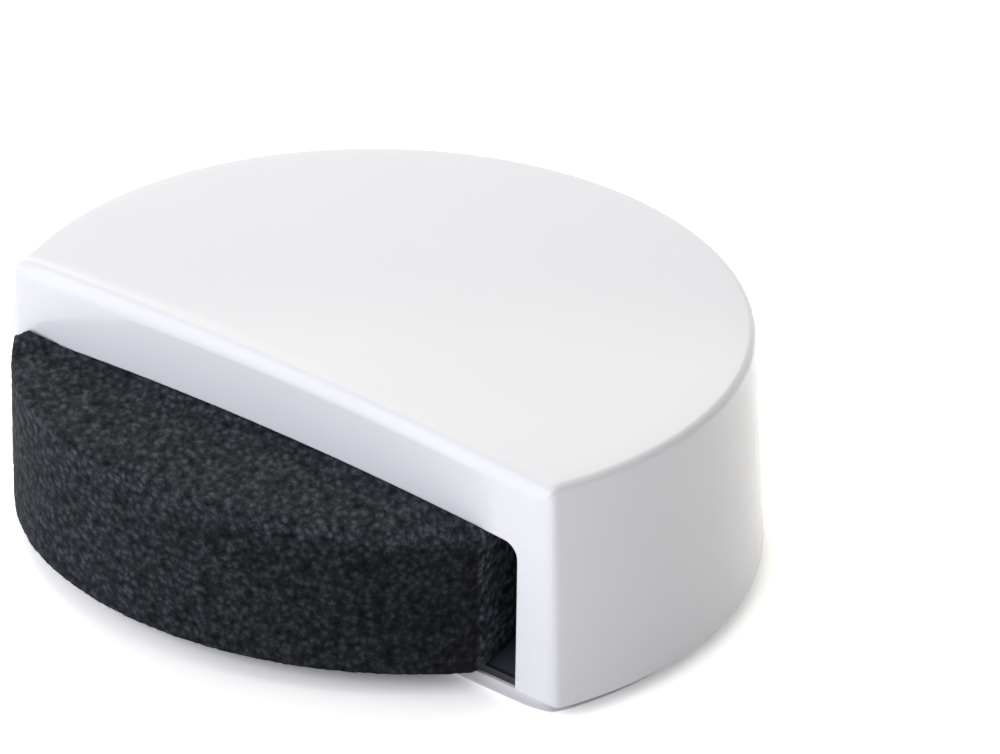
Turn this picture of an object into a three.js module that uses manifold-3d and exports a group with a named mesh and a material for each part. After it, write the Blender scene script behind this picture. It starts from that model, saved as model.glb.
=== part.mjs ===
// Self-adhesive door bumper: a round moulded cap cut off straight at the front, with a block of cellular
// rubber standing out through the opening. Millimetres, +Z up. The origin lies on the surface that the
// bumper is stuck to, under the centre of the round wall, and the straight front faces -Y.

import * as THREE from 'three';
import { mergeVertices } from 'three/addons/utils/BufferGeometryUtils.js';
import Module from 'manifold-3d';

// Housing
const rimRadius = 24.6; // round wall, measured at the rim
const frontDistance = 9.55; // from the centre of the round wall to the straight front
const wallHeight = 15.55; // from the foot of the wall to the rim
const draftAngle = 3.3; // degrees that the round wall leans out towards its foot
const crownHeight = 0.85; // rise of the domed top above the rim
const wallThickness = 2.25; // round wall, at the rim
const roofThickness = 2;
const rimFillet = 0.55; // edge between the round wall and the top
const frontFillet = 1.25; // edge between the straight front and the top
const frontCornerRadius = 0.6; // upright edges at the two ends of the front
const footChamfer = 0.25;

// Opening in the front
const lipHeight = 5.05; // lip over the opening, from the rim down, at its ends
const lipRise = 0.7; // how much higher the arched edge of the lip is at its middle
const lipThickness = 2;
const openingCornerRadius = 0.8;

// Ribs moulded under the roof, which keep the foam down
const ribThickness = 1.2;
const longRibCount = 3;
const longRibPitch = 11;
const crossRibCount = 2;
const crossRibPitch = 12;
const crossRibMiddle = 4; // behind the centre of the round wall

// Foam block. It sits to the left: its soft left end laps over the end of the wall there, and a gap is left
// at its right.
const bumperFrontRadius = 27.5;
const bumperReach = 10.3; // foremost point of the front arc, ahead of the housing's front
const bumperShift = 3.2; // centre of the front arc, to the left of the middle
const bumperEndRadius = 20.5; // tighter arc that ends the front on the left
const bumperEndStart = 16; // degrees to the left of straight ahead where that arc takes over
const bumperSideX = 17.6; // right side, level with the housing's front
const bumperSideLean = 13.3; // degrees that the right side turns in towards the rear
const bumperCornerRadius = 1.5;
const foamLipClearance = 0.15;
const foamSwell = 0.05; // above the lip's edge, once the foam is out from under it
const foamWallClearance = 0.3;
const foamRibClearance = 0.3;

// Base plate, adhesive pad and its paper
const plateThickness = 0.5;
const plateClearance = 0.3; // round the plate, inside the wall
const plateCornerRadius = 0.4;
const plateSetback = 0.5; // plate's straight edge, behind the housing's front
const padThickness = 0.85;
const padInset = 1.05; // pad's edge inside the foot of the round wall
const padSetback = 0.25; // pad's straight edge, behind the housing's front
const padCornerRadius = 2.5;
const linerThickness = 0.1;

// Fineness of the round forms
const arcSteps = 84;
const chordSteps = 14;
const cornerSteps = 5;
const filletSteps = 4;
const domeRings = 7;
const archSteps = 20;
const latheSteps = 96;
const ceilingSteps = 6;
const cutMargin = 1; // how far a cutting body runs past the face that it cuts

// Heights and radii that follow from the driving dimensions
const radians = THREE.MathUtils.degToRad;
const footZ = linerThickness + padThickness;
const rimZ = footZ + wallHeight;
const plateTopZ = footZ + plateThickness;
const lipEndZ = rimZ - lipHeight;
const lipBack = lipThickness - frontDistance;
const footRadius = rimRadius + wallHeight * Math.tan(radians(draftAngle));
const cavityRadius = rimRadius - wallThickness;
const domeRadius = (rimRadius ** 2 + crownHeight ** 2) / (2 * crownHeight);
const domeCentreZ = rimZ + crownHeight - domeRadius;
const openingHalf = Math.sqrt(cavityRadius ** 2 - frontDistance ** 2);
const lipArchRadius = (openingHalf ** 2 + lipRise ** 2) / (2 * lipRise);

const wasm = await Module();
wasm.setup();

function topZ(x, y) {
  return domeCentreZ + Math.sqrt(domeRadius ** 2 - x * x - y * y);
}

function lipZ(x) {
  return lipEndZ + lipRise - lipArchRadius + Math.sqrt(lipArchRadius ** 2 - x * x);
}

// Closed bodies for joining and cutting

function toSolid(geometry) {
  const bare = geometry.clone();
  bare.deleteAttribute('normal');
  bare.deleteAttribute('uv');
  const merged = mergeVertices(bare, 1e-5);
  const vertProperties = new Float32Array(merged.attributes.position.array);
  const triVerts = new Uint32Array(merged.index.array);
  return new wasm.Manifold(new wasm.Mesh({ numProp: 3, vertProperties, triVerts }));
}

function toGeometry(solid) {
  const mesh = solid.getMesh();
  const geometry = new THREE.BufferGeometry();
  geometry.setAttribute('position', new THREE.BufferAttribute(mesh.vertProperties, 3));
  geometry.setIndex(new THREE.BufferAttribute(mesh.triVerts, 1));
  geometry.computeVertexNormals();
  return geometry;
}

// Points along an arc, from one angle up to but not including the other
function arcPoints(centreX, centreY, radius, from, to, steps) {
  return Array.from({ length: steps }, (_, i) => {
    const angle = from + ((to - from) * i) / steps;
    return new THREE.Vector2(centreX + radius * Math.cos(angle), centreY + radius * Math.sin(angle));
  });
}

// A circle about the origin, cut straight at y = -cut, with both corners rounded. Each point knows its
// outward normal and how much it belongs to the front: 1 on the straight, 0 on the circle.
function dOutline(radius, cut, corner) {
  const cornerY = corner - cut;
  const cornerX = Math.sqrt((radius - corner) ** 2 - cornerY ** 2);
  const meet = Math.atan2(cornerY, cornerX);
  const points = [];
  const addArc = (x, y, r, from, to, steps, frontFrom, frontTo) => {
    arcPoints(x, y, r, from, to, steps).forEach((point, i) => {
      const angle = from + ((to - from) * i) / steps;
      const front = frontFrom + ((frontTo - frontFrom) * i) / steps;
      points.push({ x: point.x, y: point.y, nx: Math.cos(angle), ny: Math.sin(angle), front });
    });
  };
  addArc(cornerX, cornerY, corner, -Math.PI / 2, meet, cornerSteps, 1, 0);
  addArc(0, 0, radius, meet, Math.PI - meet, arcSteps, 0, 0);
  addArc(-cornerX, cornerY, corner, Math.PI - meet, 1.5 * Math.PI, cornerSteps, 0, 1);
  for (let i = 0; i < chordSteps; i++) {
    points.push({ x: cornerX * ((2 * i) / chordSteps - 1), y: -cut, nx: 0, ny: -1, front: 1 });
  }
  return points;
}

// A skin over a stack of rings with equal point counts, closed by a fan to a point at each end
function loft(rings, bottom, top) {
  const count = rings[0].length;
  const position = [...rings.flat(), bottom, top].flatMap((p) => [p.x, p.y, p.z]);
  const bottomIndex = rings.length * count;
  const lastRing = (rings.length - 1) * count;
  const index = [];
  for (let i = 0; i < count; i++) {
    const next = (i + 1) % count;
    for (let r = 0; r < lastRing; r += count) {
      index.push(r + i, r + next, r + count + next, r + i, r + count + next, r + count + i);
    }
    index.push(bottomIndex, next, i, bottomIndex + 1, lastRing + i, lastRing + next);
  }
  const geometry = new THREE.BufferGeometry();
  geometry.setAttribute('position', new THREE.Float32BufferAttribute(position, 3));
  geometry.setIndex(index);
  return geometry;
}

// A flat sheet with a D-shaped outline
function dSheet(radius, cut, corner, thickness, z) {
  const shape = new THREE.Shape(dOutline(radius, cut, corner).map((p) => new THREE.Vector2(p.x, p.y)));
  const geometry = new THREE.ExtrudeGeometry(shape, { depth: thickness, bevelEnabled: false });
  return geometry.translate(0, 0, z);
}

// A body with the same upright section all the way from y = yFront to y = yRear
function extrudeAlongY(shape, yFront, yRear) {
  const geometry = new THREE.ExtrudeGeometry(shape, { depth: yRear - yFront, bevelEnabled: false });
  return geometry.rotateX(Math.PI / 2).translate(0, yRear, 0);
}

function boxBetween(low, high) {
  const size = new THREE.Vector3().subVectors(high, low);
  const middle = new THREE.Vector3().addVectors(low, high).multiplyScalar(0.5);
  return new THREE.BoxGeometry(size.x, size.y, size.z).translate(middle.x, middle.y, middle.z);
}

// A round body about the origin: profile points are (radius, z), from the axis round to the axis
function roundBody(profile) {
  return new THREE.LatheGeometry(profile, latheSteps).rotateX(Math.PI / 2);
}

// Housing: the outer form is lofted from the foot up, round the edge of the top and over the dome

function outerForm() {
  const ring = (outline, z, inset) =>
    outline.map((p) => new THREE.Vector3(p.x - p.nx * inset, p.y - p.ny * inset, z));
  const footOutline = dOutline(footRadius, frontDistance, frontCornerRadius);
  const rings = [
    ring(footOutline, footZ, footChamfer),
    ring(footOutline, footZ + footChamfer, 0),
  ];
  const rimOutline = dOutline(rimRadius, frontDistance, frontCornerRadius);
  for (let step = 0; step <= filletSteps; step++) {
    const turn = ((Math.PI / 2) * step) / filletSteps;
    rings.push(rimOutline.map((p) => {
      const fillet = THREE.MathUtils.lerp(rimFillet, frontFillet, p.front);
      const inset = fillet * (1 - Math.cos(turn));
      const x = p.x - p.nx * inset;
      const y = p.y - p.ny * inset;
      return new THREE.Vector3(x, y, topZ(x, y) - fillet * (1 - Math.sin(turn)));
    }));
  }
  const edge = rings.at(-1);
  for (let step = 1; step < domeRings; step++) {
    const share = 1 - step / domeRings;
    rings.push(edge.map((p) => new THREE.Vector3(p.x * share, p.y * share, topZ(p.x * share, p.y * share))));
  }
  return loft(rings, new THREE.Vector3(0, 0, footZ), new THREE.Vector3(0, 0, topZ(0, 0)));
}

// The pocket inside follows the round wall and runs parallel to the dome under the roof
function pocketForm() {
  const ceilingRadius = domeRadius - roofThickness;
  const reach = Math.asin(cavityRadius / ceilingRadius);
  const profile = [
    new THREE.Vector2(0, footZ - cutMargin),
    new THREE.Vector2(cavityRadius, footZ - cutMargin),
  ];
  for (let step = 0; step < ceilingSteps; step++) {
    const tilt = reach * (1 - step / ceilingSteps);
    const radius = step === 0 ? cavityRadius : ceilingRadius * Math.sin(tilt);
    profile.push(new THREE.Vector2(radius, domeCentreZ + ceilingRadius * Math.cos(tilt)));
  }
  profile.push(new THREE.Vector2(0, domeCentreZ + ceilingRadius));
  return roundBody(profile);
}

function ribForms() {
  const low = foamTopZ(0) + foamRibClearance;
  const high = topZ(0, 0);
  const half = ribThickness / 2;
  const ribs = [];
  for (let i = 0; i < longRibCount; i++) {
    const x = (i - (longRibCount - 1) / 2) * longRibPitch;
    ribs.push(boxBetween(
      new THREE.Vector3(x - half, -rimRadius, low),
      new THREE.Vector3(x + half, rimRadius, high),
    ));
  }
  for (let i = 0; i < crossRibCount; i++) {
    const y = crossRibMiddle + (i - (crossRibCount - 1) / 2) * crossRibPitch;
    ribs.push(boxBetween(
      new THREE.Vector3(-rimRadius, y - half, low),
      new THREE.Vector3(rimRadius, y + half, high),
    ));
  }
  return ribs;
}

// Upright section under an arch that is parallel to the lip's edge, with rounded upper corners
function archSection(half, corner, lowZ, drop) {
  const shape = new THREE.Shape();
  const inner = half - corner;
  shape.moveTo(-half, lowZ);
  shape.lineTo(half, lowZ);
  shape.lineTo(half, lipZ(half) - drop - corner);
  shape.quadraticCurveTo(half, lipZ(half) - drop, inner, lipZ(inner) - drop);
  for (let step = 1; step < archSteps; step++) {
    const x = inner * (1 - (2 * step) / archSteps);
    shape.lineTo(x, lipZ(x) - drop);
  }
  shape.lineTo(-inner, lipZ(inner) - drop);
  shape.quadraticCurveTo(-half, lipZ(half) - drop, -half, lipZ(half) - drop - corner);
  return shape;
}

function buildHousing() {
  const behindLip = boxBetween(
    new THREE.Vector3(-2 * rimRadius, lipBack, footZ - 2 * cutMargin),
    new THREE.Vector3(2 * rimRadius, 2 * rimRadius, rimZ + 2 * crownHeight),
  );
  let pocket = toSolid(pocketForm()).intersect(toSolid(behindLip));
  for (const rib of ribForms()) pocket = pocket.subtract(toSolid(rib));

  const belowLip = roundBody([
    new THREE.Vector2(0, footZ - cutMargin),
    new THREE.Vector2(cavityRadius, footZ - cutMargin),
    new THREE.Vector2(cavityRadius, lipEndZ - openingCornerRadius),
    new THREE.Vector2(0, lipEndZ - openingCornerRadius),
  ]);
  const underLip = extrudeAlongY(
    archSection(openingHalf, openingCornerRadius, footZ + cutMargin, 0),
    -frontDistance - cutMargin,
    lipBack + cutMargin,
  );
  const cavity = pocket.add(toSolid(belowLip)).add(toSolid(underLip));
  return toGeometry(toSolid(outerForm()).subtract(cavity));
}

// Foam block

function foamTopZ(x) {
  return lipZ(x) - foamLipClearance;
}

// Centre of the arc that rounds off the corner between a large arc and a straight side
function cornerCentre(arcCentre, arcRadius, side, direction, corner) {
  const inward = new THREE.Vector2(-direction.y, direction.x);
  const start = side.clone().addScaledVector(inward, corner).sub(arcCentre);
  const along = start.dot(direction);
  const reach = Math.sqrt(along ** 2 - start.lengthSq() + (arcRadius - corner) ** 2);
  return start.addScaledVector(direction, -along - reach).add(arcCentre);
}

// Outline of the front, from the left end round to the right side, closed far behind the housing's cavity
function bumperShape() {
  const lean = radians(bumperSideLean);
  const meet = -Math.PI / 2 - radians(bumperEndStart);
  const front = new THREE.Vector2(-bumperShift, bumperFrontRadius - bumperReach - frontDistance);
  const offset = bumperFrontRadius - bumperEndRadius;
  const end = new THREE.Vector2(Math.cos(meet), Math.sin(meet)).multiplyScalar(offset).add(front);
  const side = new THREE.Vector2(bumperSideX, -frontDistance);
  const direction = new THREE.Vector2(-Math.sin(lean), Math.cos(lean));
  const corner = cornerCentre(front, bumperFrontRadius, side, direction, bumperCornerRadius);
  const turn = Math.atan2(corner.y - front.y, corner.x - front.x);
  return new THREE.Shape([
    ...arcPoints(end.x, end.y, bumperEndRadius, -Math.PI, meet, arcSteps / 3),
    ...arcPoints(front.x, front.y, bumperFrontRadius, meet, turn, arcSteps / 3),
    ...arcPoints(corner.x, corner.y, bumperCornerRadius, turn, lean, cornerSteps),
    side.clone().addScaledVector(direction, 2 * rimRadius),
    new THREE.Vector2(-2 * rimRadius, 2 * rimRadius),
  ]);
}

// Room that the foam has: the cavity, the way out under the lip and the open space ahead of the housing
function bumperRoom() {
  const inside = cavityRadius - foamWallClearance;
  const cavity = roundBody([
    new THREE.Vector2(0, footZ),
    new THREE.Vector2(inside, footZ),
    new THREE.Vector2(inside, rimZ),
    new THREE.Vector2(0, rimZ),
  ]);
  const behindLip = boxBetween(
    new THREE.Vector3(-2 * rimRadius, lipBack + foamWallClearance, footZ),
    new THREE.Vector3(2 * rimRadius, 2 * rimRadius, rimZ),
  );
  const wayOut = extrudeAlongY(
    archSection(openingHalf - foamWallClearance, openingCornerRadius, footZ, foamLipClearance),
    -frontDistance - cutMargin,
    lipBack + cutMargin,
  );
  const ahead = boxBetween(
    new THREE.Vector3(-2 * rimRadius, -2 * rimRadius, footZ),
    new THREE.Vector3(2 * rimRadius, -frontDistance, rimZ),
  );
  return toSolid(cavity).intersect(toSolid(behindLip)).add(toSolid(wayOut)).add(toSolid(ahead));
}

function buildBumper() {
  const block = new THREE.ExtrudeGeometry(bumperShape(), { depth: rimZ - plateTopZ, bevelEnabled: false });
  const under = (drop, yFront, yRear) =>
    toSolid(extrudeAlongY(archSection(rimRadius, 0, plateTopZ - cutMargin, drop), yFront, yRear));
  const ends = boxBetween(
    new THREE.Vector3(-rimRadius, -2 * rimRadius, plateTopZ - cutMargin),
    new THREE.Vector3(rimRadius, -frontDistance, lipEndZ + 2 * foamSwell),
  );
  const height = under(foamLipClearance, -frontDistance, 2 * rimRadius)
    .add(under(-foamSwell, -2 * rimRadius, -frontDistance))
    .add(toSolid(ends));
  const solid = toSolid(block.translate(0, 0, plateTopZ));
  return toGeometry(solid.intersect(height).intersect(bumperRoom()));
}

// Assembly

function addPiece(group, name, geometry, color, roughness) {
  const material = new THREE.MeshStandardMaterial({ color, roughness, metalness: 0 });
  const mesh = new THREE.Mesh(geometry, material);
  mesh.name = name;
  group.add(mesh);
}

const group = new THREE.Group();
const plateRadius = cavityRadius - plateClearance;
const plateCut = frontDistance - plateSetback;
const padRadius = footRadius - padInset;
const padCut = frontDistance - padSetback;
addPiece(group, 'housing', buildHousing(), 0xf1f1f4, 0.3);
addPiece(group, 'bumper', buildBumper(), 0x34343a, 0.9);
const plate = dSheet(plateRadius, plateCut, plateCornerRadius, plateThickness, footZ);
const pad = dSheet(padRadius, padCut, padCornerRadius, padThickness, linerThickness);
const liner = dSheet(padRadius, padCut, padCornerRadius, linerThickness, 0);
addPiece(group, 'base_plate', plate, 0x33363f, 0.55);
addPiece(group, 'adhesive_pad', pad, 0xc9c9c6, 0.8);
addPiece(group, 'release_liner', liner, 0xe9e9e6, 0.6);

export default group;
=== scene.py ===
import math

import bmesh
import bpy
import numpy as np
from mathutils import Matrix, Vector


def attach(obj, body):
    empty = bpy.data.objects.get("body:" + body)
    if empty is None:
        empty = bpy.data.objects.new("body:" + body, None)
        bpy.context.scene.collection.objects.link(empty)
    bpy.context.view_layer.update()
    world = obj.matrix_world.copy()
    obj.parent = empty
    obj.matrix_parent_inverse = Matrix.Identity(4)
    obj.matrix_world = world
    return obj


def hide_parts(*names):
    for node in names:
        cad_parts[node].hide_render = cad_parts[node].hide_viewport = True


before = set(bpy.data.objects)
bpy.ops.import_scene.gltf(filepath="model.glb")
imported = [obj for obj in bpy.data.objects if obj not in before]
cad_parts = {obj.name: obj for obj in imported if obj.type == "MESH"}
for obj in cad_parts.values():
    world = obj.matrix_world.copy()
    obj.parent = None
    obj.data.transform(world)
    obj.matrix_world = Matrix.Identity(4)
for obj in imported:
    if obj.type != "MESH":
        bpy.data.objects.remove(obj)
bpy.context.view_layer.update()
mm = 0.001

# Heights that the pieces share, measured from the surface that the bumper is stuck to
heights = {
    "liner": 0.1 * mm,  # top of the paper under the pad
    "foot": 0.95 * mm,  # top of the pad, foot of the cap
    "plate": 1.45 * mm,  # top of the base plate, underside of the foam
    "rim": 16.5 * mm,  # where the round wall meets the top
}


# A value in a node tree: arithmetic on it adds Math nodes
class Signal:
    def __init__(self, board, socket):
        self.board = board
        self.socket = socket

    def __add__(self, other):
        return self.board.maths("ADD", self, other)

    def __radd__(self, other):
        return self.board.maths("ADD", other, self)

    def __sub__(self, other):
        return self.board.maths("SUBTRACT", self, other)

    def __rsub__(self, other):
        return self.board.maths("SUBTRACT", other, self)

    def __mul__(self, other):
        return self.board.maths("MULTIPLY", self, other)

    def __rmul__(self, other):
        return self.board.maths("MULTIPLY", other, self)

    def __truediv__(self, other):
        return self.board.maths("DIVIDE", self, other)

    def __rtruediv__(self, other):
        return self.board.maths("DIVIDE", other, self)


# A node tree under construction
class Board:
    def __init__(self, tree):
        self.tree = tree

    # One node: its settings first, then its sockets by name or number, and the output that is wanted
    def add(self, kind, settings=None, sockets=None, output=0):
        node = self.tree.nodes.new(kind)
        for name, value in (settings or {}).items():
            if name == "stops":
                setStops(node.color_ramp, value)
            else:
                setattr(node, name, value)
        for key, value in (sockets or {}).items():
            if isinstance(value, Signal):
                self.tree.links.new(value.socket, node.inputs[key])
            else:
                node.inputs[key].default_value = value
        return Signal(self, node.outputs[output]) if len(node.outputs) else node

    def maths(self, operation, *values):
        return self.add("ShaderNodeMath", {"operation": operation}, dict(enumerate(values)))

    def clamped(self, value):
        return self.add("ShaderNodeMath", {"operation": "ADD", "use_clamp": True}, {0: value, 1: 0.0})

    def between(self, low, high, share):
        return low + (high - low) * share

    def blend(self, share, first, second):
        return self.add("ShaderNodeMix", {"data_type": "RGBA"}, {0: share, 6: first, 7: second}, output=2)

    def vector(self, x, y, z):
        return self.add("ShaderNodeCombineXYZ", None, {0: x, 1: y, 2: z})

    def part(self, vector, axis):
        return self.add("ShaderNodeSeparateXYZ", None, {0: vector}, output=axis)

    def scaled(self, vector, factor):
        return self.add("ShaderNodeVectorMath", {"operation": "SCALE"}, {0: vector, "Scale": factor})

    # Round cells of a size: the distance from the middle of the nearest one
    def cells(self, place, size):
        return self.add("ShaderNodeTexVoronoi", {"feature": "F1"}, {"Vector": place, "Scale": 1 / size})

    # Coordinates in which a texture comes out longer by a factor along one direction
    def drawnOut(self, vector, direction, factor):
        product = {"operation": "DOT_PRODUCT"}
        along = self.add("ShaderNodeVectorMath", product, {0: vector, 1: direction}, output=1)
        along = along * (1 / factor - 1)
        return self.add("ShaderNodeVectorMath", {"operation": "MULTIPLY_ADD"}, {
            0: self.vector(along, along, along), 1: direction, 2: vector,
        })


def setStops(ramp, stops):
    while len(ramp.elements) < len(stops):
        ramp.elements.new(1.0)
    for element, (place, colour) in zip(ramp.elements, stops):
        element.position = place
        element.color = colour


# A new geometry tree with named inputs; returns its board and the inputs as signals
def openTree(name, inputs):
    tree = bpy.data.node_groups.new(name, "GeometryNodeTree")
    tree.interface.new_socket("Geometry", in_out="INPUT", socket_type="NodeSocketGeometry")
    for label, kind in inputs.items():
        tree.interface.new_socket(label, in_out="INPUT", socket_type="NodeSocket" + kind)
    tree.interface.new_socket("Geometry", in_out="OUTPUT", socket_type="NodeSocketGeometry")
    board = Board(tree)
    labels = ["Geometry", *inputs]
    return board, {label: board.add("NodeGroupInput", output=label) for label in labels}


def closeTree(board, geometry, material):
    whole = board.add("GeometryNodeRealizeInstances", None, {0: geometry})
    painted = board.add("GeometryNodeSetMaterial", None, {"Geometry": whole, "Material": material})
    board.add("NodeGroupOutput", None, {0: painted})
    return board.tree


# Runs a tree on a mesh, or on nothing, and keeps the result as a plain mesh
def grow(name, tree, values, mesh=None):
    piece = bpy.data.objects.new(name, mesh or bpy.data.meshes.new(name))
    bpy.context.scene.collection.objects.link(piece)
    modifier = piece.modifiers.new("form", "NODES")
    modifier.node_group = tree
    for item in tree.interface.items_tree:
        if item.in_out == "INPUT" and item.name in values:
            modifier[item.identifier] = values[item.name]
    return settle(piece)


# Turns a piece's modifiers into a plain mesh
def settle(piece):
    graph = bpy.context.evaluated_depsgraph_get()
    made = bpy.data.meshes.new_from_object(
        piece.evaluated_get(graph), preserve_all_data_layers=True, depsgraph=graph
    )
    piece.modifiers.clear()
    piece.data = made
    made.name = piece.name
    return piece


# A half-round solid: a circle cut straight at the front, drafted, filleted at its upper edge and domed.
# Its skin is a grid whose rings run from the middle of the underside, up the wall and over the top.
def halfRoundTree():
    flareSpread = math.radians(7)  # how far round from the left end the flare fades out
    leastAhead = 0.05  # keeps the straight front from running off sideways
    weld = 0.002 * mm
    board, given = openTree("half round", {
        "Rim radius": "Float", "Front distance": "Float", "Foot height": "Float", "Wall height": "Float",
        "Lean": "Float", "Crown": "Float", "Round fillet": "Float", "Front fillet": "Float",
        "Foot edge": "Float", "Left softness": "Float", "Right softness": "Float", "Left flare": "Float",
        "Columns": "Int", "Edge rings": "Int", "Fillet rings": "Int", "Dome rings": "Int",
        "Material": "Material",
    })
    radius, distance = given["Rim radius"], given["Front distance"]
    columns, edgeRings = given["Columns"], given["Edge rings"]
    filletRings, domeRings = given["Fillet rings"], given["Dome rings"]
    stride = columns + 1
    grid = board.add("GeometryNodeMeshGrid", None, {
        "Vertices X": edgeRings + filletRings + domeRings + 3, "Vertices Y": stride,
    })
    index = board.add("GeometryNodeInputIndex")
    ring = board.maths("FLOOR", (index + 0.5) / stride)
    column = index - ring * stride

    # angle from the middle of the front, evenly spaced along the outline
    cornerX = board.maths("SQRT", radius * radius - distance * distance)
    cornerAngle = board.maths("ARCTAN2", cornerX, distance)
    halfLength = cornerX + radius * (math.pi - cornerAngle)
    along = (column / columns - 0.5) * 2 * halfLength
    run = board.maths("ABSOLUTE", along)
    turned = board.maths("ARCTANGENT", board.maths("MINIMUM", run, cornerX) / distance)
    turned = turned + board.maths("MAXIMUM", run - cornerX, 0.0) / radius
    angle = turned * board.maths("SIGN", along)
    ahead = board.maths("COSINE", angle)

    # how far each ring has come: round the foot's edge, up the wall, round the upper edge, over the dome
    quarter = math.pi / 2
    footTurn = board.clamped((ring - 1) / edgeRings) * quarter
    wallShare = board.clamped(ring - 1 - edgeRings)
    rimTurn = board.clamped((ring - 2 - edgeRings) / filletRings) * quarter
    domeShare = board.clamped((ring - 2 - edgeRings - filletRings) / domeRings)
    footInset = given["Foot edge"] * (1 - board.maths("SINE", footTurn))
    footLift = given["Foot edge"] * (1 - board.maths("COSINE", footTurn))
    rounding = 1 - board.maths("COSINE", rimTurn)
    flare = given["Lean"] * given["Wall height"] * (1 - wallShare)
    atLeftEnd = board.clamped(1 - board.maths("ABSOLUTE", angle + cornerAngle) / flareSpread)
    roundReach = radius + flare - footInset - given["Round fillet"] * rounding
    roundReach = roundReach + given["Left flare"] * atLeftEnd * (1 - rounding)
    frontReach = distance - footInset - given["Front fillet"] * rounding
    frontReach = frontReach / board.maths("MAXIMUM", ahead, leastAhead)
    softness = board.between(given["Left softness"], given["Right softness"], board.clamped(along / mm))
    reach = board.maths("SMOOTH_MIN", roundReach, frontReach, softness)
    frontness = board.clamped((roundReach - frontReach) / (softness * 2) + 0.5)
    share = board.maths("MINIMUM", ring, 1.0) * (1 - domeShare)
    x = reach * share * board.maths("SINE", angle)
    y = reach * share * ahead * -1

    fillet = board.between(given["Round fillet"], given["Front fillet"], frontness)
    dome = given["Crown"] * (1 - (x * x + y * y) / (radius * radius))
    top = given["Wall height"] + dome - fillet * (1 - board.maths("SINE", rimTurn))
    z = given["Foot height"] + board.between(footLift, top, wallShare)

    formed = board.add("GeometryNodeSetPosition", None, {
        "Geometry": grid, "Position": board.vector(x, y, z),
    })
    merged = board.add("GeometryNodeMergeByDistance", None, {"Geometry": formed, "Distance": weld})
    smooth = board.add("GeometryNodeSetShadeSmooth", None, {0: merged})
    return closeTree(board, smooth, given["Material"])


# A row of upright blades along X or Y, each one drafted towards its free lower edge
def bladeRowTree():
    board, given = openTree("blade row", {
        "Count": "Int", "Pitch": "Float", "Length": "Float", "Thickness": "Float",
        "Low": "Float", "High": "Float", "Middle": "Float", "Turn": "Float", "Draft": "Float",
        "Material": "Material",
    })
    height = given["High"] - given["Low"]
    blade = board.add("GeometryNodeMeshCube", None, {
        "Size": board.vector(given["Thickness"], given["Length"], height),
        "Vertices X": 2, "Vertices Y": 12, "Vertices Z": 4,
    })
    place = board.add("GeometryNodeInputPosition")
    x, y, z = (board.part(place, axis) for axis in "XYZ")
    narrowing = 1 - given["Draft"] * (0.5 - z / height)
    drafted = board.add("GeometryNodeSetPosition", None, {
        "Geometry": blade, "Position": board.vector(x * narrowing, y, z),
    })
    first = given["Pitch"] * (given["Count"] - 1) * -0.5 + given["Middle"]
    line = board.add("GeometryNodeMeshLine", None, {
        "Count": given["Count"],
        "Start Location": board.vector(first, 0.0, (given["High"] + given["Low"]) * 0.5),
        "Offset": board.vector(given["Pitch"], 0.0, 0.0),
    })
    row = board.add("GeometryNodeInstanceOnPoints", None, {"Points": line, "Instance": drafted})
    turned = board.add("GeometryNodeTransform", None, {
        "Geometry": row, "Rotation": board.vector(0.0, 0.0, given["Turn"]),
    })
    return closeTree(board, turned, given["Material"])


foamRise = (0.645, -0.764, 0.0)  # the foam rose this way, which left its cells a little longer
foamStretch = 1.7


# Gives a fine mesh the relief of cut foam: rounded grains of rubber with pits between them. How high each
# place stands is stored on the mesh, so that the material can darken the pits with it, a painted shade.
def cellSkinTree():
    board, given = openTree("cell skin", {
        "Grain size": "Float", "Pit depth": "Float", "Cell size": "Float", "Cell depth": "Float",
        "Offset": "Float", "Material": "Material",
    })
    place = board.add("GeometryNodeInputPosition")
    shifted = board.add("ShaderNodeVectorMath", {"operation": "ADD"}, {
        0: place, 1: board.vector(given["Offset"], given["Offset"], given["Offset"]),
    })
    shifted = board.drawnOut(shifted, foamRise, foamStretch)
    grain = board.add("ShaderNodeTexNoise", None, {
        "Vector": shifted, "Scale": 1 / given["Grain size"], "Detail": 1.0, "Roughness": 0.35,
    })
    cell = board.cells(shifted, given["Cell size"])
    contrast, cellReach, cellShare = 1.8, 0.45, 0.5  # of the grains, and how a cell lowers them
    height = board.clamped((grain - 0.5) * contrast + 0.5 - board.clamped(cellReach - cell) * cellShare)
    sink = (given["Pit depth"] * (1 - height) + given["Cell depth"] * board.clamped(1 - cell * 2)) * -1
    normal = board.add("GeometryNodeInputNormal")
    stored = board.add("GeometryNodeStoreNamedAttribute", {"data_type": "FLOAT", "domain": "POINT"}, {
        "Geometry": given["Geometry"], "Name": "height", "Value": height,
    })
    carved = board.add("GeometryNodeSetPosition", None, {
        "Geometry": stored, "Offset": board.scaled(normal, sink),
    })
    return closeTree(board, carved, given["Material"])


def openMaterial(name):
    material = bpy.data.materials.new(name)
    material.use_nodes = True
    material.node_tree.nodes.clear()
    board = Board(material.node_tree)
    place = board.add("ShaderNodeTexCoord", None, None, output=3)
    return material, board, place


def noise(board, place, size, detail=2.0, rough=0.5, output=0):
    return board.add("ShaderNodeTexNoise", None, {
        "Vector": place, "Scale": 1 / size, "Detail": detail, "Roughness": rough,
    }, output=output)


def ramp(board, value, *stops):
    return board.add("ShaderNodeValToRGB", {"stops": [(at, (g, g, g, 1.0)) for at, g in stops]}, {0: value})


def bump(board, height, depth, strength=1.0, below=None):
    sockets = {"Height": height, "Distance": depth, "Strength": strength}
    if below is not None:
        sockets["Normal"] = below
    return board.add("ShaderNodeBump", None, sockets)


def finishMaterial(board, sockets):
    surface = board.add("ShaderNodeBsdfPrincipled", None, sockets)
    board.add("ShaderNodeOutputMaterial", None, {"Surface": surface})


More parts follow.
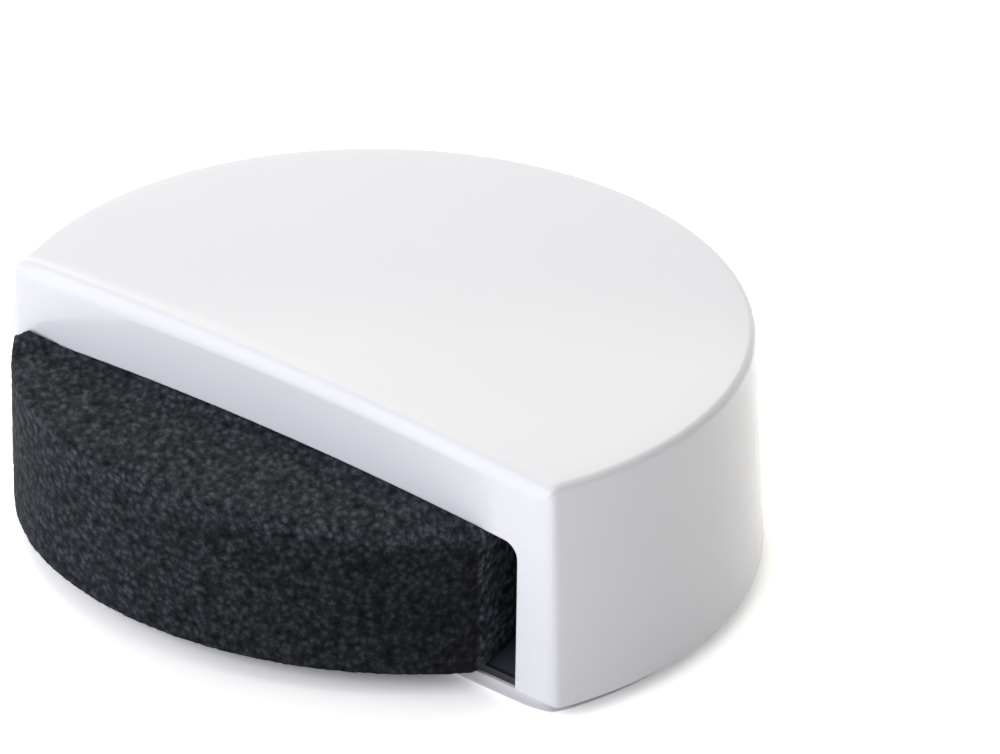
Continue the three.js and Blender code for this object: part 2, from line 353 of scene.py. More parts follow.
# Glossy white moulded plastic: almost even, with soft flow marks, a fine eggshell and hairline rubs
def glossyPlastic():
    look = {
        "colour": (0.775, 0.78, 0.80, 1.0),
        "flow colour": (0.75, 0.755, 0.78, 1.0),
        "roughness": 0.17,
        "flow size": 14 * mm,
        "eggshell size": 0.9 * mm,
        "eggshell depth": 0.0012 * mm,
        "fine size": 0.5 * mm,
        "rub size": 6 * mm,
        "rub narrowness": 14.0,
        "rub turn": 0.6,
        "rub depth": 0.0005 * mm,
        "flow change": 0.05,  # of the roughness
        "rub change": 0.05,
        "fine change": 0.03,
    }
    material, board, place = openMaterial("glossyPlastic")
    flow = noise(board, place, look["flow size"], 3.0)
    fine = noise(board, place, look["fine size"], 2.0)
    stretched = board.add("ShaderNodeMapping", None, {
        "Vector": place, "Rotation": (0.0, 0.0, look["rub turn"]),
        "Scale": (1.0, look["rub narrowness"], 1.0),
    })
    streak = noise(board, stretched, look["rub size"], 4.0, 0.7)
    rub = ramp(board, streak, (0.62, 0.0), (0.70, 1.0))
    colour = board.blend(board.clamped(flow * 1.6 - 0.3), look["colour"], look["flow colour"])
    roughness = look["roughness"] + (flow - 0.5) * look["flow change"]
    roughness = roughness + rub * look["rub change"] + (fine - 0.5) * look["fine change"]
    shell = noise(board, place, look["eggshell size"], 1.0)
    normal = bump(board, shell, look["eggshell depth"])
    normal = bump(board, rub, look["rub depth"], below=normal)
    finishMaterial(board, {
        "Base Color": colour, "Roughness": roughness, "Normal": normal, "IOR": 1.5,
    })
    return material


# Cut rubber foam: near black in its pits, partly a painted shade that follows the relief, and a cool dark
# grey on its grains. Its moulded front is darker towards the right and its top lighter, painted shade and
# light, while its cut right side is lighter, a painted light.
def rubberFoam():
    look = {
        "pit": (0.0018, 0.0022, 0.0030, 1.0),
        "body": (0.0192, 0.0212, 0.0256, 1.0),
        "grain": (0.061, 0.066, 0.077, 1.0),
        "grain size": 0.5 * mm,
        "grain share": 0.8,  # of each pattern in the tone
        "grain middle": 0.49,
        "speck size": 0.33 * mm,
        "speck share": 0.9,
        "speck depth": 0.06 * mm,
        "fine size": 0.13 * mm,
        "fine share": 0.8,
        "fine depth": 0.015 * mm,
        "patch size": 5 * mm,
        "patch share": 0.2,
        # how far the sunken places are darkened, a painted shade
        "pit shade share": 0.3,
        "front height": 11.4 * mm,  # the moulded front lies below this
        "front blend": 0.8 * mm,
        "front shade": 0.55,  # at its right end
        "shade spread": 26 * mm,
        "shade start": 0.3,  # in the middle
        "top shade": -0.22,
        # how much lighter the cut right side is painted, a painted light
        "side painted light": 1.6,
        "side blend": 0.2 * mm,
        "side start": 1.3,
        "roughness": 0.80,
        "fine change": 0.18,  # of the roughness
    }
    material, board, place = openMaterial("rubberFoam")
    x, y, z = (board.part(place, axis) for axis in "XYZ")
    grains = board.drawnOut(place, foamRise, foamStretch)
    height = board.add("ShaderNodeAttribute", {"attribute_name": "height"}, None, output=2)
    speck = noise(board, grains, look["speck size"], 1.0, 0.4)
    fine = noise(board, grains, look["fine size"], 1.0)
    patch = noise(board, place, look["patch size"], 2.0)
    grain = board.cells(grains, look["grain size"])
    level = (look["grain middle"] - grain) * look["grain share"] + (speck - 0.5) * look["speck share"]
    level = level + (fine - 0.5) * look["fine share"] + (patch - 0.5) * look["patch share"]
    # Painted shade: the sunken places of the relief are darkened
    level = board.clamped(level + (height - 0.5) * look["pit shade share"] + 0.5)
    darker = board.blend(board.clamped(level * 2), look["pit"], look["body"])
    colour = board.blend(board.clamped(level * 2 - 1), darker, look["grain"])
    # Painted shade and light: the moulded front darker towards the right, the top lighter, the cut right
    # side lighter
    lean = foam["side lean"]
    fromSide = (foam["side place"] - x) * math.cos(lean) - (y + cap["front distance"]) * math.sin(lean)
    side = board.clamped(look["side start"] - fromSide / look["side blend"])
    front = board.clamped((look["front height"] - z) / look["front blend"])
    toRight = board.clamped(x / look["shade spread"] + look["shade start"])
    shade = board.between(look["top shade"], toRight * look["front shade"], front)
    colour = board.scaled(colour, 1 - shade * (1 - side) + side * look["side painted light"])
    normal = bump(board, speck, look["speck depth"], 0.6)
    normal = bump(board, fine, look["fine depth"], 0.5, below=normal)
    finishMaterial(board, {
        "Base Color": colour, "Roughness": look["roughness"] + fine * look["fine change"],
        "Normal": normal, "Specular IOR Level": 0.08,
    })
    return material


# Light grey foam tape, with fine closed cells on its cut edge. Its lower part is darker, a painted shade
# towards the floor, and it is greyer to the left, a painted shadow of the foam.
def tapeFoam():
    look = {
        "pale": (0.64, 0.64, 0.635, 1.0),
        "grey": (0.54, 0.54, 0.545, 1.0),
        "cell size": 0.16 * mm,
        "cell depth": 0.03 * mm,
        "cell share": 0.25,  # of each pattern in the tone
        "patch size": 2.5 * mm,
        "patch share": 0.5,
        "floor shade height": 0.42 * mm,
        "floor shade blend": 0.25 * mm,
        "floor shade share": 0.6,
        "base tone": 0.2,
        "foam shadow edge": 19 * mm,  # left of this place the tape is greyer, a painted shadow of the foam
        "foam shadow blend": 4 * mm,
        "foam shadow share": 0.7,
    }
    material, board, place = openMaterial("tapeFoam")
    x, z = (board.part(place, axis) for axis in "XZ")
    cell = board.cells(place, look["cell size"])
    patch = noise(board, place, look["patch size"], 3.0)
    # Painted shade: the tape is darker below this height, towards the floor
    aboveFloorShade = board.clamped((z - look["floor shade height"]) / look["floor shade blend"])
    # Painted shadow: the tape is greyer to the left, where the foam shades it
    foamShadow = board.clamped((look["foam shadow edge"] - x) / look["foam shadow blend"])
    tone = aboveFloorShade * look["floor shade share"] + look["base tone"] - foamShadow * look["foam shadow share"]
    tone = tone + (patch - 0.5) * look["patch share"] + (0.5 - cell) * look["cell share"]
    colour = board.blend(board.clamped(tone), look["grey"], look["pale"])
    normal = bump(board, cell, look["cell depth"], 0.6)
    finishMaterial(board, {"Base Color": colour, "Roughness": 0.72 + patch * 0.2, "Normal": normal})
    return material


# Smooth dark sheet plastic with faint drawing lines, and darker along its front edge, a painted shade
def sheetPlastic():
    look = {
        "dark": (0.050, 0.062, 0.074, 1.0),
        "light": (0.075, 0.090, 0.102, 1.0),
        # colour of the painted shade along the front edge
        "edge": (0.010, 0.012, 0.015, 1.0),
        "shaded edge place": -8.8 * mm,
        "shaded edge blend": 0.2 * mm,
        "line size": 2 * mm,
        "line narrowness": 20.0,
        "line depth": 0.003 * mm,
        "cloud size": 4 * mm,
        "roughness": 0.5,
        "cloud change": 0.14,  # of the roughness
    }
    material, board, place = openMaterial("sheetPlastic")
    drawn = board.add("ShaderNodeMapping", None, {
        "Vector": place, "Scale": (1.0, look["line narrowness"], 1.0),
    })
    lines = noise(board, drawn, look["line size"], 3.0)
    cloud = noise(board, place, look["cloud size"], 2.0)
    colour = board.blend(board.clamped(lines * 0.6 + cloud * 0.5), look["dark"], look["light"])
    # Painted shade: the front strip of the sheet is darkened
    ahead = look["shaded edge place"] - board.part(place, "Y")
    edgeShade = board.clamped(ahead / look["shaded edge blend"] + 1)
    roughness = look["roughness"] + cloud * look["cloud change"]
    finishMaterial(board, {
        "Base Color": board.blend(edgeShade, colour, look["edge"]), "Roughness": roughness,
        "Normal": bump(board, lines, look["line depth"]),
    })
    return material


# Coated release paper: off-white, with faint fibres under the coating
def coatedPaper():
    look = {
        "paper": (0.80, 0.80, 0.79, 1.0),
        "fibre": (0.72, 0.72, 0.71, 1.0),
        "fibre size": 0.8 * mm,
        "fibre bend": 1.5 * mm,
        "bend size": 1.2 * mm,
        "fibre depth": 0.004 * mm,
        "cloud size": 6 * mm,
        "roughness": 0.42,
        "cloud change": 0.2,  # of the roughness
    }
    material, board, place = openMaterial("coatedPaper")
    bent = noise(board, place, look["bend size"], 2.0, output=1)
    strewn = board.add("ShaderNodeVectorMath", {"operation": "MULTIPLY_ADD"}, {
        0: bent, 1: (look["fibre bend"],) * 3, 2: place,
    })
    fibres = board.add("ShaderNodeTexVoronoi", {"feature": "DISTANCE_TO_EDGE"}, {
        "Vector": strewn, "Scale": 1 / look["fibre size"],
    })
    thread = ramp(board, fibres, (0.0, 1.0), (0.06, 0.0))
    cloud = noise(board, place, look["cloud size"], 3.0)
    colour = board.blend(board.clamped(thread * 0.5 + cloud * 0.4), look["paper"], look["fibre"])
    normal = bump(board, thread, look["fibre depth"])
    roughness = look["roughness"] + cloud * look["cloud change"]
    finishMaterial(board, {"Base Color": colour, "Roughness": roughness, "Normal": normal})
    return material


def meshObject(name, vertices, faces, material=None):
    mesh = bpy.data.meshes.new(name)
    mesh.from_pydata([tuple(v) for v in vertices], [], [tuple(f) for f in faces])
    mesh.validate()
    if material:
        mesh.materials.append(material)
    piece = bpy.data.objects.new(name, mesh)
    bpy.context.scene.collection.objects.link(piece)
    return piece


def faceOutwards(piece, weld=0.0):
    work = bmesh.new()
    work.from_mesh(piece.data)
    if weld:
        bmesh.ops.remove_doubles(work, verts=work.verts, dist=weld)
    bmesh.ops.recalc_face_normals(work, faces=work.faces)
    work.to_mesh(piece.data)
    work.free()


def shadeSmooth(piece, sharpAngle=None):
    piece.data.polygons.foreach_set("use_smooth", [True] * len(piece.data.polygons))
    if sharpAngle:
        piece.data.set_sharp_from_angle(angle=sharpAngle)


# Cuts one body out of another, and removes the body that cuts
def cutAway(piece, cutter):
    modifier = piece.modifiers.new("cut", "BOOLEAN")
    modifier.object = cutter
    modifier.operation = "DIFFERENCE"
    modifier.solver = "EXACT"
    settle(piece)
    bpy.data.objects.remove(cutter)


def placePiece(piece, slotName, *nodes):
    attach(piece, "root")
    if nodes:
        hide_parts(*nodes)


cap = {
    "rim radius": 24.6 * mm,
    "front distance": 9.55 * mm,
    "draft": math.radians(3.3),
    "crown": 0.85 * mm,
    "round fillet": 0.57 * mm,
    "front fillet": 1.27 * mm,
    "left softness": 0.4 * mm,  # how far the upright edge at the front's left end is blended
    "right softness": 0.8 * mm,
    "left flare": 0.34 * mm,  # how far that edge stands out from the round
    "foot edge": 0.09 * mm,
    "wall": 2.25 * mm,
    "roof": 2.0 * mm,
    "lip height": 5.05 * mm,  # at its two ends
    "lip rise": 0.7 * mm,
    "lip thickness": 2.0 * mm,
    "opening half width": 20.2 * mm,
    "opening corner": 1.1 * mm,
    "opening edge": 0.1 * mm,  # rounding of the opening's edges
    "pocket fillet": 0.5 * mm,
    "pocket corner": 0.4 * mm,
    "rib thickness": 1.2 * mm,
    "rib draft": 0.25,
    "rib clearance": 0.15 * mm,  # above the middle of the lip's edge
    "long ribs": 3,
    "long rib pitch": 11 * mm,
    "cross ribs": 2,
    "cross rib pitch": 12 * mm,
    "cross rib middle": 4 * mm,
}
cutMargin = 1.5 * mm  # how far the pocket and the opening are cut on past the cap's foot


def lipEdge(x):
    half, rise = cap["opening half width"], cap["lip rise"]
    radius = (half ** 2 + rise ** 2) / (2 * rise)
    return heights["rim"] - cap["lip height"] + rise - radius + math.sqrt(radius ** 2 - x * x)


def capSkin(tree, name, material, **changes):
    values = {
        "Rim radius": cap["rim radius"], "Front distance": cap["front distance"],
        "Foot height": heights["foot"], "Wall height": heights["rim"] - heights["foot"],
        "Lean": math.tan(cap["draft"]), "Crown": cap["crown"],
        "Round fillet": cap["round fillet"], "Front fillet": cap["front fillet"],
        "Foot edge": cap["foot edge"],
        "Left softness": cap["left softness"], "Right softness": cap["right softness"],
        "Left flare": cap["left flare"],
        "Columns": 720, "Edge rings": 3, "Fillet rings": 8, "Dome rings": 18, "Material": material,
    }
    values.update(changes)
    piece = grow(name, tree, values)
    faceOutwards(piece)
    return piece


# What is hollow inside the cap: its wall is round, and its ceiling runs parallel to the dome, with ribs
def pocketBody(formTree, ribTree, material):
    radius = cap["rim radius"] - cap["wall"]
    crown = cap["crown"] * (radius / cap["rim radius"]) ** 2
    ceiling = heights["rim"] + cap["crown"] - crown - cap["roof"]
    lipBack = cap["front distance"] - cap["lip thickness"]
    body = capSkin(
        formTree, "pocket", material,
        **{
            "Rim radius": radius, "Front distance": lipBack,
            "Foot height": heights["foot"] - cutMargin,
            "Wall height": ceiling - heights["foot"] + cutMargin,
            "Lean": 0.0, "Crown": crown, "Foot edge": 0.01 * mm, "Left flare": 0.0,
            "Round fillet": cap["pocket fillet"], "Front fillet": cap["pocket fillet"],
            "Left softness": cap["pocket corner"], "Right softness": cap["pocket corner"],
            "Columns": 360, "Edge rings": 1, "Fillet rings": 4, "Dome rings": 10,
        },
    )
    shared = {
        "Length": 60 * mm, "Thickness": cap["rib thickness"], "Draft": cap["rib draft"],
        "Low": lipEdge(0.0) + cap["rib clearance"], "High": heights["rim"] + 3 * mm,  # right into the roof
        "Material": material,
    }
    rows = {
        "longRibs": (cap["long ribs"], cap["long rib pitch"], 0.0, 0.0),
        "crossRibs": (cap["cross ribs"], cap["cross rib pitch"], cap["cross rib middle"], math.pi / 2),
    }
    for name, values in rows.items():
        row = dict(zip(("Count", "Pitch", "Middle", "Turn"), values))
        ribs = grow(name, ribTree, {**shared, **row})
        faceOutwards(ribs)
        cutAway(body, ribs)
    return body


# The opening in the front, as a bar with an arched top that passes through the lip
def openingBody():
    half, corner = cap["opening half width"], cap["opening corner"]
    low = heights["foot"] - cutMargin
    inner = half - corner
    top = lipEdge(inner)
    outline = [(half, low), (half, top - corner)]
    for step in range(1, 9):
        turn = step / 8 * math.pi / 2
        outline.append((inner + corner * math.cos(turn), top - corner + corner * math.sin(turn)))
    arch = [(x, lipEdge(x)) for x in np.linspace(inner, -inner, 61)[1:-1]]
    left = [(-x, z) for x, z in reversed(outline)]
    section = outline + arch + left
    ahead, behind = 2 * mm, 0.6 * mm  # how far the bar runs past the lip
    front, back = -cap["front distance"] - ahead, -cap["front distance"] + cap["lip thickness"] + behind
    count = len(section)
    vertices = [(x, y, z) for y in (front, back) for x, z in section]
    sides = [(i, (i + 1) % count, count + (i + 1) % count, count + i) for i in range(count)]
    body = meshObject("opening", vertices, sides + [range(count), range(2 * count - 1, count - 1, -1)])
    faceOutwards(body)
    return body


# Joins the flat front into one face and marks the opening's edges for rounding
def prepareFront(piece):
    work = bmesh.new()
    work.from_mesh(piece.data)
    bmesh.ops.remove_doubles(work, verts=work.verts, dist=0.0005 * mm)
    plane = -cap["front distance"]

    def onPlane(item):
        return all(abs(v.co.y - plane) < 0.0008 * mm for v in item.verts)

    # the opening's edges are sharper than this, and the joints in the straight front are not
    sharp = math.radians(40)
    flat = [f for f in work.faces if onPlane(f)]
    bmesh.ops.dissolve_faces(work, faces=flat, use_verts=False)
    weights = work.edges.layers.float.new("bevel_weight_edge")
    half = cap["opening half width"] + 0.01 * mm
    for edge in work.edges:
        if not onPlane(edge) or len(edge.link_faces) != 2:
            continue
        inOpening = all(abs(v.co.x) < half and v.co.z < lipEdge(0.0) + 0.01 * mm for v in edge.verts)
        if inOpening and edge.calc_face_angle() > sharp:
            edge[weights] = 1.0
    work.to_mesh(piece.data)
    work.free()


def makeCap(formTree, ribTree, material):
    piece = capSkin(formTree, "cap", material)
    cutAway(piece, pocketBody(formTree, ribTree, material))
    cutAway(piece, openingBody())
    prepareFront(piece)
    shadeSmooth(piece, math.radians(38))
    rounding = piece.modifiers.new("rounding", "BEVEL")
    rounding.limit_method = "WEIGHT"
    rounding.width = cap["opening edge"]
    rounding.segments = 4
    rounding.use_clamp_overlap = False
    evening = piece.modifiers.new("evening", "WEIGHTED_NORMAL")
    evening.keep_sharp = True
    settle(piece)
    piece.data.materials.clear()
    piece.data.materials.append(material)
    placePiece(piece, "housing", "housing")
    print("cap:", len(piece.data.polygons), "faces")
    return piece


foam = {
    "front radius": 27.5 * mm,
    "front reach": 10.3 * mm,  # foremost point ahead of the cap's front
    "shift": 3.2 * mm,  # centre of the front arc, left of the middle
    "end radius": 20.5 * mm,  # tighter arc that ends the front on the left
    "end start": math.radians(16),
    "side place": 17.6 * mm,  # right side, level with the cap's front
    "side lean": math.radians(13.3),
    "side corner": 1.5 * mm,
    "left corner": 0.6 * mm,
    "edge": 0.25 * mm,  # rounding of the upper and lower edges
    "lip clearance": 0.03 * mm,
    "swell": 0.16 * mm,  # above the lip's edge, once the foam is out from under it
    "end rise": 0.2 * mm,  # further rise of the left end, which stands in front of the cap's wall
    "rise start": -19.5 * mm,
    "rise run": 1.5 * mm,
    "shoulder": 0.6 * mm,  # rounding of the left end's upper edge
    "wall clearance": 0.3 * mm,
    "neck": 0.75 * mm,  # how far behind the lip the foam starts to spread
    "spread": 1.5 * mm,  # how much further back it meets the round wall on the left
    "height": 8.8 * mm,  # roughly: it only sets the number of rows up the side
    "step": 0.14 * mm,  # mesh size where the foam shows
    "rear step": 0.3 * mm,
    "columns": 340,
    "grain size": 0.46 * mm,
    "pit depth": 0.07 * mm,
    "cell size": 0.5 * mm,
    "cell depth": 0.03 * mm,
    "pattern offset": 0.31,
}


def arcRun(centre, radius, start, stop, step):
    count = max(3, round(abs(stop - start) * radius / step))
    turns = np.linspace(start, stop, count + 1)
    return np.stack([centre[0] + radius * np.cos(turns), centre[1] + radius * np.sin(turns)], axis=1)


def evenRun(points, count):
    gaps = np.r_[0.0, np.cumsum(np.hypot(*np.diff(points, axis=0).T))]
    keep = np.r_[True, np.diff(gaps) > 1e-9]
    places = np.linspace(0.0, gaps[-1], count)
    return np.stack([np.interp(places, gaps[keep], points[keep, k]) for k in (0, 1)], axis=1)


# The foam's outline ahead of the cap: its rounded front, the way from its left end along the cap's front
# face to the opening, and the corner at its right. Also the direction of its right side.
def foamNose():
    plane, step = -cap["front distance"], foam["step"] / 2
    front = np.array([-foam["shift"], plane - foam["front reach"] + foam["front radius"]])
    meet = -math.pi / 2 - foam["end start"]
    end = front + (foam["front radius"] - foam["end radius"]) * np.array([math.cos(meet), math.sin(meet)])
    small, corner, lean = foam["left corner"], foam["side corner"], foam["side lean"]
    drop = plane - small - end[1]
    left = np.array([end[0] - math.sqrt((foam["end radius"] - small) ** 2 - drop ** 2), plane - small])
    leftTurn = math.atan2(left[1] - end[1], left[0] - end[0])
    direction = np.array([-math.sin(lean), math.cos(lean)])
    outwards = np.array([math.cos(lean), math.sin(lean)])
    start = np.array([foam["side place"], plane]) - corner * outwards - front
    back = start @ direction
    length = math.sqrt(back ** 2 - start @ start + (foam["front radius"] - corner) ** 2)
    right = front + start - direction * (back + length)
    rightTurn = math.atan2(right[1] - front[1], right[0] - front[0])
    nose = np.vstack([
        arcRun(end, foam["end radius"], leftTurn, meet, step),
        arcRun(front, foam["front radius"], meet, rightTurn, step)[1:],
    ])
    shoulder = np.array([[foam["wall clearance"] - cap["opening half width"], plane]])
    leftEnd = np.vstack([arcRun(left, small, leftTurn + 2 * math.pi, math.pi / 2, step), shoulder])
    return nose, leftEnd, arcRun(right, corner, rightTurn, lean, step), direction


# Rows of points from the front to the rear. Each row runs from left to right.
def foamRows():
    columns = foam["columns"]
    nose, leftEnd, rightEnd, direction = foamNose()
    crescent = round(foam["front reach"] / foam["step"])
    nose = evenRun(nose, columns)
    left, right = evenRun(leftEnd, crescent + 1), evenRun(rightEnd, crescent + 1)
    across, down = np.linspace(0, 1, columns)[None, :, None], np.linspace(0, 1, crescent + 1)[:, None, None]
    mouth = left[-1] + (right[-1] - left[-1]) * across[0]
    corners = (1 - down) * ((1 - across) * nose[0] + across * nose[-1]) + down * mouth
    ends = (1 - across) * left[:, None] + across * right[:, None]
    ahead = (1 - down) * nose + down * mouth + ends - corners

    # behind the lip the foam spreads to the round wall on the left and keeps its straight side on the right
    neckEnd = cap["lip thickness"] + foam["neck"]
    straightBack = np.array([0.0, 1.0])
    neck = mouth + neckEnd * (straightBack + across[0] * (direction - straightBack))
    inside = cap["rim radius"] - cap["wall"] - foam["wall clearance"]
    along = neck[-1] @ direction
    gap = math.sqrt(along ** 2 - neck[-1] @ neck[-1] + inside ** 2)
    rear = neck[-1] + direction * (gap - along)
    wallStart = math.pi - math.asin((neck[0][1] + foam["spread"]) / inside)
    wallEnd = math.atan2(rear[1], rear[0])
    wall = evenRun(arcRun((0.0, 0.0), inside, wallStart, wallEnd, foam["rear step"]), columns)
    rows = list(ahead)
    rows += [mouth + (neck - mouth) * share for share in np.linspace(0, 1, 6)[1:]]
    rows += [neck + (wall - neck) * share for share in np.linspace(0, 1, 12)[1:]]
    return np.array(rows)


# For each point of a grid of rows, the way in from the nearest border, so that the whole grid can be
# drawn in by a small amount without folding
def borderInset(rows, loop, reach=12):
    count, width = rows.shape[:2]
    outline = rows.reshape(-1, 2)[loop]
    ahead = np.roll(outline, -1, axis=0) - outline
    normal = np.stack([-ahead[:, 1], ahead[:, 0]], axis=1) / np.hypot(*ahead.T)[:, None]
    before = np.roll(normal, 1, axis=0)
    corner = (normal + before) / (1 + (normal * before).sum(axis=1))[:, None]
    inward = np.zeros((count * width, 2))
    inward[loop] = corner
    inward = inward.reshape(count, width, 2)
    down = np.clip(1 - np.arange(count) / reach, 0, 1)[:, None, None]
    across = np.clip(1 - np.arange(width) / reach, 0, 1)[None, :, None]
    front, rear = down * inward[:1], down[::-1] * inward[-1:]
    left, right = across * inward[:, :1], across[:, ::-1] * inward[:, -1:]
    twice = down * across * inward[:1, :1] + down * across[:, ::-1] * inward[:1, -1:]
    twice = twice + down[::-1] * across * inward[-1:, :1] + down[::-1] * across[:, ::-1] * inward[-1:, -1:]
    return front + rear + left + right - twice, corner


# Height of the top: close under the lip's arched edge, swollen a little where it is out in the open, and
# rounded off towards the left end
def foamTop(points):
    arch = np.array([lipEdge(x) for x in points[:, 0]])
    out = np.clip((-cap["front distance"] - points[:, 1]) / foam["step"], 0, 1)
    swollen = np.maximum(arch, heights["rim"] - cap["lip height"] + foam["swell"]) + foam["swell"]
    risen = np.clip((foam["rise start"] - points[:, 0]) / foam["rise run"], 0, 1)
    swollen = swollen + foam["end rise"] * risen
    fromEnd = np.clip(1 - (points[:, 0] - points[:, 0].min()) / foam["shoulder"], 0, 1)
    fall = foam["shoulder"] * (1 - np.sqrt(1 - fromEnd ** 2))
    return (arch - foam["lip clearance"]) * (1 - out) + (swollen - fall) * out


def makeFoam(skinTree, material):
    rows = foamRows()
    count, width = rows.shape[:2]
    grid = np.arange(count * width).reshape(count, width)
    loop = np.r_[grid[0, :-1], grid[:-1, -1], grid[-1, :0:-1], grid[:0:-1, 0]]
    edge, low = foam["edge"], heights["plate"]
    inward, corner = borderInset(rows, loop)
    outline = rows.reshape(-1, 2)[loop]
    inner = (rows + inward * edge).reshape(-1, 2)
    vertices = [np.column_stack([inner, foamTop(inner)])]
    high = foamTop(outline)
    sideRows = round(foam["height"] / foam["step"])
    steps = []  # down the side: how far in from the outline, and how high
    for turn in (30, 60, 90):
        a = math.radians(turn)
        steps.append((edge * (1 - math.sin(a)), high - edge * (1 - math.cos(a))))
    for k in range(1, sideRows):
        steps.append((0.0, high - edge + (low + 2 * edge - high) * (k / sideRows)))
    for turn in (90, 60, 30, 0):
        a = math.radians(turn)
        steps.append((edge * (1 - math.sin(a)), np.full(len(loop), low + edge * (1 - math.cos(a)))))
    for inset, z in steps:
        vertices.append(np.column_stack([outline + corner * inset, z]))
    vertices = np.vstack(vertices)
    quads = np.stack([grid[:-1, :-1], grid[:-1, 1:], grid[1:, 1:], grid[1:, :-1]], axis=-1).reshape(-1, 4)
    faces = [tuple(q) for q in quads]
    rings = [loop] + [count * width + k * len(loop) + np.arange(len(loop)) for k in range(len(steps))]
    for upper, lower in zip(rings, rings[1:]):
        faces += list(zip(lower, np.roll(lower, -1), np.roll(upper, -1), upper))
    faces.append(tuple(rings[-1][::-1]))
    base = meshObject("foamBase", vertices, [[int(i) for i in f] for f in faces])
    faceOutwards(base, weld=0.001 * mm)
    shadeSmooth(base)
    piece = grow("foamBlock", skinTree, {
        "Grain size": foam["grain size"], "Pit depth": foam["pit depth"],
        "Cell size": foam["cell size"], "Cell depth": foam["cell depth"],
        "Offset": foam["pattern offset"], "Material": material,
    }, mesh=base.data)
    bpy.data.objects.remove(base)
    placePiece(piece, "bumper", "bumper")
    print("foam:", len(piece.data.polygons), "faces")
    return piece


pad = {
    "radius": 24.44 * mm,
    "front": 9.3 * mm,  # straight edge, from the centre of the round wall
    "corner": 2.6 * mm,
    "edge": 0.06 * mm,
}


def makePad(formTree, material):
    piece = capSkin(
        formTree, "tapePad", material,
        **{
            "Rim radius": pad["radius"], "Front distance": pad["front"], "Foot height": heights["liner"],
            "Wall height": heights["foot"] - heights["liner"], "Lean": 0.0, "Crown": 0.0,
            "Round fillet": pad["edge"], "Front fillet": pad["edge"], "Foot edge": pad["edge"],
            "Left softness": pad["corner"], "Right softness": pad["corner"], "Left flare": 0.0,
            "Columns": 520, "Edge rings": 3, "Fillet rings": 3, "Dome rings": 6,
        },
    )
    shadeSmooth(piece, math.radians(50))
    placePiece(piece, "adhesive_pad", "adhesive_pad")
    print("pad:", len(piece.data.polygons), "faces")
    return piece


# The plate and the paper are the solids' own plain sheets, and only get their finish
def paintSheet(nodeName, material):
    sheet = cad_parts[nodeName]
    sheet.data.materials.clear()
    sheet.data.materials.append(material)
    print("painted:", nodeName)


shot = {
    "azimuth": math.radians(40.16),
    "elevation": math.radians(28.85),
    "roll": math.radians(0.66),
    "distance": 479.93 * mm,
    "target": (14.39 * mm, -4.48 * mm, 19.37 * mm),
    "lens": 274.79,
    "sensor": 36.0,
    "clip": (0.01, 20.0),
}


def placeCamera():
    azimuth, elevation, roll = shot["azimuth"], shot["elevation"], shot["roll"]
    back = Vector((
        math.sin(azimuth) * math.cos(elevation),
        -math.cos(azimuth) * math.cos(elevation),
        math.sin(elevation),
    ))
    level = Vector((math.cos(azimuth), math.sin(azimuth), 0.0))
    up = back.cross(level)
    right = level * math.cos(roll) + up * math.sin(roll)
    top = up * math.cos(roll) - level * math.sin(roll)
    camera = bpy.data.objects.new("camera", bpy.data.cameras.new("camera"))
    bpy.context.scene.collection.objects.link(camera)
    camera.data.lens = shot["lens"]
    camera.data.sensor_width = shot["sensor"]
    camera.data.clip_start, camera.data.clip_end = shot["clip"]
    place = Vector(shot["target"]) + back * shot["distance"]
    camera.matrix_world = Matrix.Translation(place) @ Matrix((right, top, back)).transposed().to_4x4()
    bpy.context.scene.camera = camera


light = {
    "sky": 0.03,  # the faint light that comes from between the panels
    "floor colour": (0.94, 0.93, 0.91, 1.0),
    "floor reach": 1.5,
    "cloud size": 0.25,  # of the faint unevenness of the floor
    "floor lift": (0.92, 0.92, 0.8924),  # its further whiteness, seen directly or in a reflection
    "distance": 0.7,  # of the tent's panels from the object
    "warm": (1.035, 1.0, 0.91),
    "plain": (0.975, 0.985, 1.06),
    "cool": (0.955, 0.985, 1.11),
}

# A tent of soft panels round the object. Each has its azimuth from +X towards +Y and its elevation, both in
# degrees, its width and height in metres, its radiance and its colour.
tent = {
    "frontLeft": (225.0, 23.0, 0.53, 0.57, 1.76, "plain"),
    "front": (270.0, 23.0, 0.53, 0.57, 2.92, "plain"),
    "frontRight": (315.0, 23.0, 0.53, 0.57, 0.62, "cool"),
    "left": (180.0, 23.0, 0.53, 0.57, 1.05, "plain"),
    "rearLeft": (135.0, 15.7, 0.56, 0.36, 0.72, "plain"),
    "rear": (90.0, 23.0, 0.53, 0.57, 0.70, "cool"),
    "rearRight": (45.0, 23.0, 0.53, 0.57, 0.20, "cool"),
    "overRearLeft": (135.0, 50.0, 0.66, 0.50, 1.82, "warm"),
    "overFront": (225.0, 57.5, 0.75, 0.31, 0.40, "warm"),
    "overRearRight": (45.0, 57.5, 0.75, 0.31, 1.00, "warm"),
    "overhead": (0.0, 90.0, 0.50, 0.50, 0.26, "warm"),
}
whiteRays = ("Is Camera Ray", "Is Glossy Ray", "Is Transmission Ray")


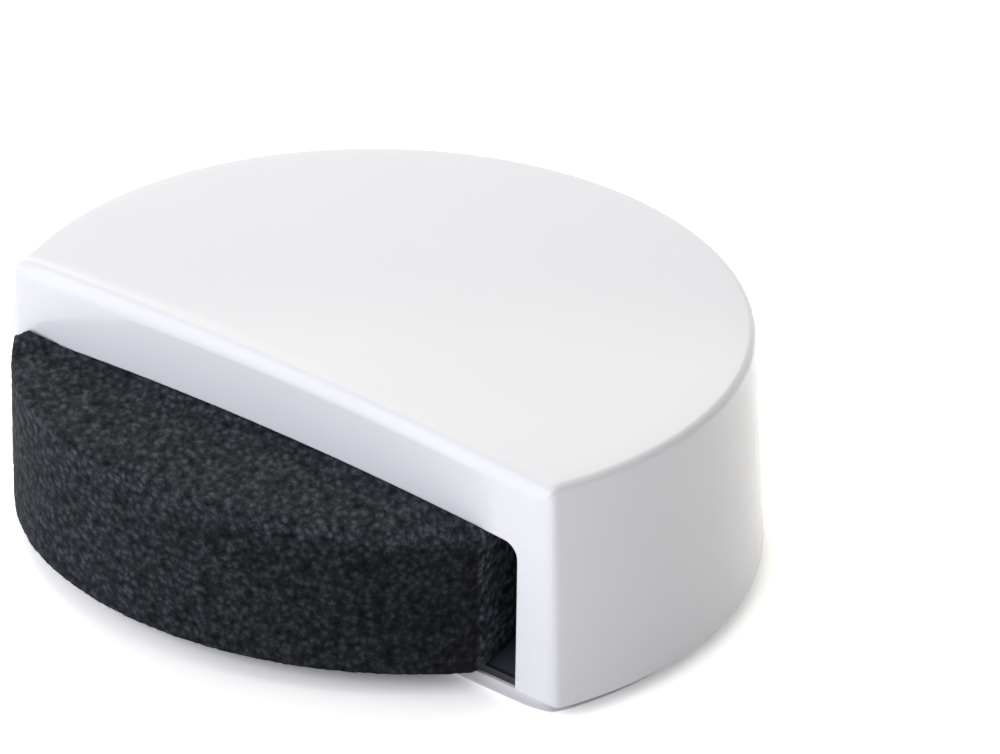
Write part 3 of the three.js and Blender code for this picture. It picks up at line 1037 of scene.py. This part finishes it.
# A panel's strength is its radiance, so that it doesn't change with its size
def addPanel(name, azimuth, elevation, width, height, radiance, colour):
    data = bpy.data.lights.new(name, "AREA")
    data.shape = "RECTANGLE"
    data.size, data.size_y = width, height
    data.energy = radiance * width * height * math.pi
    data.color = light[colour]
    around, up = math.radians(azimuth), math.radians(elevation)
    panel = bpy.data.objects.new(name, data)
    panel.location = light["distance"] * Vector((
        math.cos(around) * math.cos(up), math.sin(around) * math.cos(up), math.sin(up),
    ))
    panel.rotation_euler = (-panel.location).to_track_quat("-Z", "Y").to_euler()
    bpy.context.scene.collection.objects.link(panel)


# 1 for the rays that see the surroundings as white, 0 for those that light the object
def seenAsWhite(board):
    return board.clamped(sum((board.add("ShaderNodeLightPath", output=ray) for ray in whiteRays), 0.0))


def lightScene():
    world = bpy.data.worlds.new("softSky")
    world.use_nodes = True
    world.node_tree.nodes.clear()
    bpy.context.scene.world = world
    board = Board(world.node_tree)
    strength = board.between(light["sky"], 1.0, seenAsWhite(board))
    sky = board.add("ShaderNodeBackground", None, {0: (1.0, 1.0, 1.0, 1.0), 1: strength})
    board.add("ShaderNodeOutputWorld", None, {0: sky})
    for name, values in tent.items():
        addPanel(name, *values)


def layFloor():
    material, board, place = openMaterial("floorPaper")
    cloud = noise(board, place, light["cloud size"], 2.0)
    duller = tuple(c * 0.99 for c in light["floor colour"][:3]) + (1.0,)
    paper = board.add("ShaderNodeBsdfDiffuse", None, {0: board.blend(cloud, light["floor colour"], duller)})
    lift = board.scaled(light["floor lift"], seenAsWhite(board))
    lifted = board.add("ShaderNodeBsdfDiffuse", None, {0: lift})
    both = board.add("ShaderNodeAddShader", None, {0: paper, 1: lifted})
    board.add("ShaderNodeOutputMaterial", None, {"Surface": both})
    half = light["floor reach"]
    floor = meshObject(
        "floor",
        [(-half, -half, 0), (half, -half, 0), (half, half, 0), (-half, half, 0)],
        [(0, 1, 2, 3)], material,
    )


bpy.context.scene.view_settings.view_transform = "Standard"
placeCamera()
print("camera placed")

formTree = halfRoundTree()
makeCap(formTree, bladeRowTree(), glossyPlastic())
makeFoam(cellSkinTree(), rubberFoam())
makePad(formTree, tapeFoam())
paintSheet("base_plate", sheetPlastic())
paintSheet("release_liner", coatedPaper())

layFloor()
lightScene()
print("floor and light ready")
